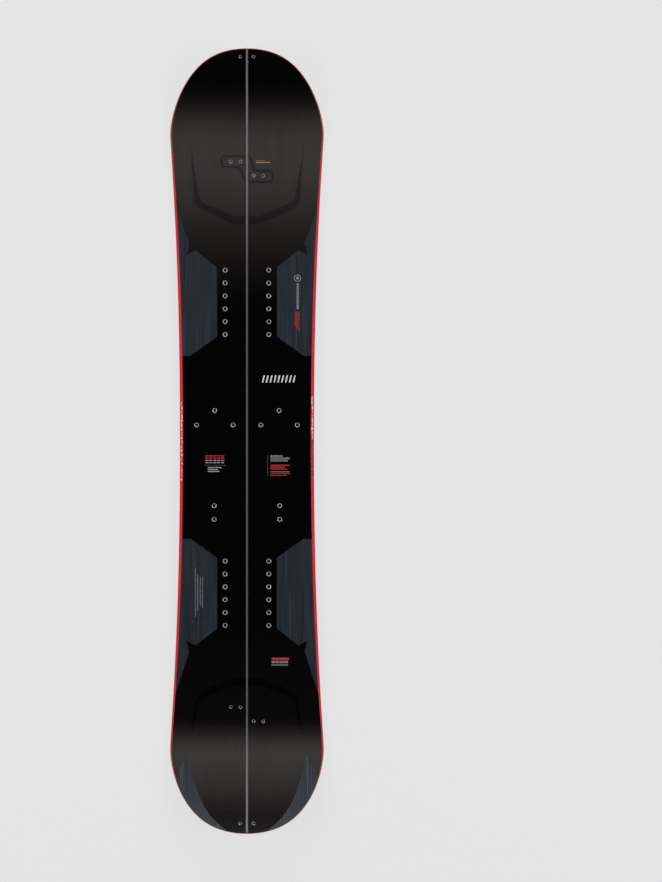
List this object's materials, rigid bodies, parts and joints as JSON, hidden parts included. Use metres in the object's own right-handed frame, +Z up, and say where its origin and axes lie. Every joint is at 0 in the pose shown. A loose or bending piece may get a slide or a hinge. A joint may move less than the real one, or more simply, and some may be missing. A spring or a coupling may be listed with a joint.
{
  "type": "splitboard",
  "caption": "Cambered snowboard in two mirrored halves that pull apart along the middle, layered construction with steel edges and threaded inserts.",
  "frame": {"origin": "middle of the board on the floor, at the foot of its bounding box", "axes": "+Y towards the nose, +X to the right seen from above with the nose away, +Z up out of the topsheet"},
  "size_m": [0.3034, 1.55, 0.0551],
  "materials": {
    "base_ptex": "sintered, waxed, with red side panels and a grey weave print",
    "edge_steel": "ground",
    "rubber_foil": "matt",
    "glass_laminate": "cured glass fibre in epoxy",
    "core_wood": "laminated strips, sanded",
    "spacer_abs": "plain",
    "sidewall_red": "milled bevel, satin",
    "seam_wall_grey": "milled, satin",
    "topsheet_black": "satin gloss with grey-blue wood-grain panels",
    "insert_steel": "turned, bright"
  },
  "bodies": {
    "left_half": {"left_base": "base_ptex", "left_outer_edge": "edge_steel", "left_inner_edge": "edge_steel", "left_edge_damping": "rubber_foil", "left_lower_glass": "glass_laminate", "left_wood_core": "core_wood", "left_nose_spacer": "spacer_abs", "left_tail_spacer": "spacer_abs", "left_outer_sidewall": "sidewall_red", "left_inner_sidewall": "seam_wall_grey", "left_upper_glass": "glass_laminate", "left_topsheet": "topsheet_black", "left_front_puck_inserts": "insert_steel", "left_rear_puck_inserts": "insert_steel", "left_toe_inserts": "insert_steel", "left_heel_inserts": "insert_steel", "left_nose_hook_inserts": "insert_steel", "left_tail_hook_inserts": "insert_steel", "left_nose_clip_insert": "insert_steel", "left_tail_clip_insert": "insert_steel"},
    "right_half": {"right_base": "base_ptex", "right_outer_edge": "edge_steel", "right_inner_edge": "edge_steel", "right_edge_damping": "rubber_foil", "right_lower_glass": "glass_laminate", "right_wood_core": "core_wood", "right_nose_spacer": "spacer_abs", "right_tail_spacer": "spacer_abs", "right_outer_sidewall": "sidewall_red", "right_inner_sidewall": "seam_wall_grey", "right_upper_glass": "glass_laminate", "right_topsheet": "topsheet_black", "right_front_puck_inserts": "insert_steel", "right_rear_puck_inserts": "insert_steel", "right_toe_inserts": "insert_steel", "right_heel_inserts": "insert_steel", "right_nose_hook_inserts": "insert_steel", "right_tail_hook_inserts": "insert_steel", "right_nose_clip_insert": "insert_steel", "right_tail_clip_insert": "insert_steel"}
  },
  "joints": [
    {"name": "split", "type": "slide", "parent": "left_half", "child": "right_half", "axis": [1, 0, 0], "range_m": [0, 0.3]}
  ]
}
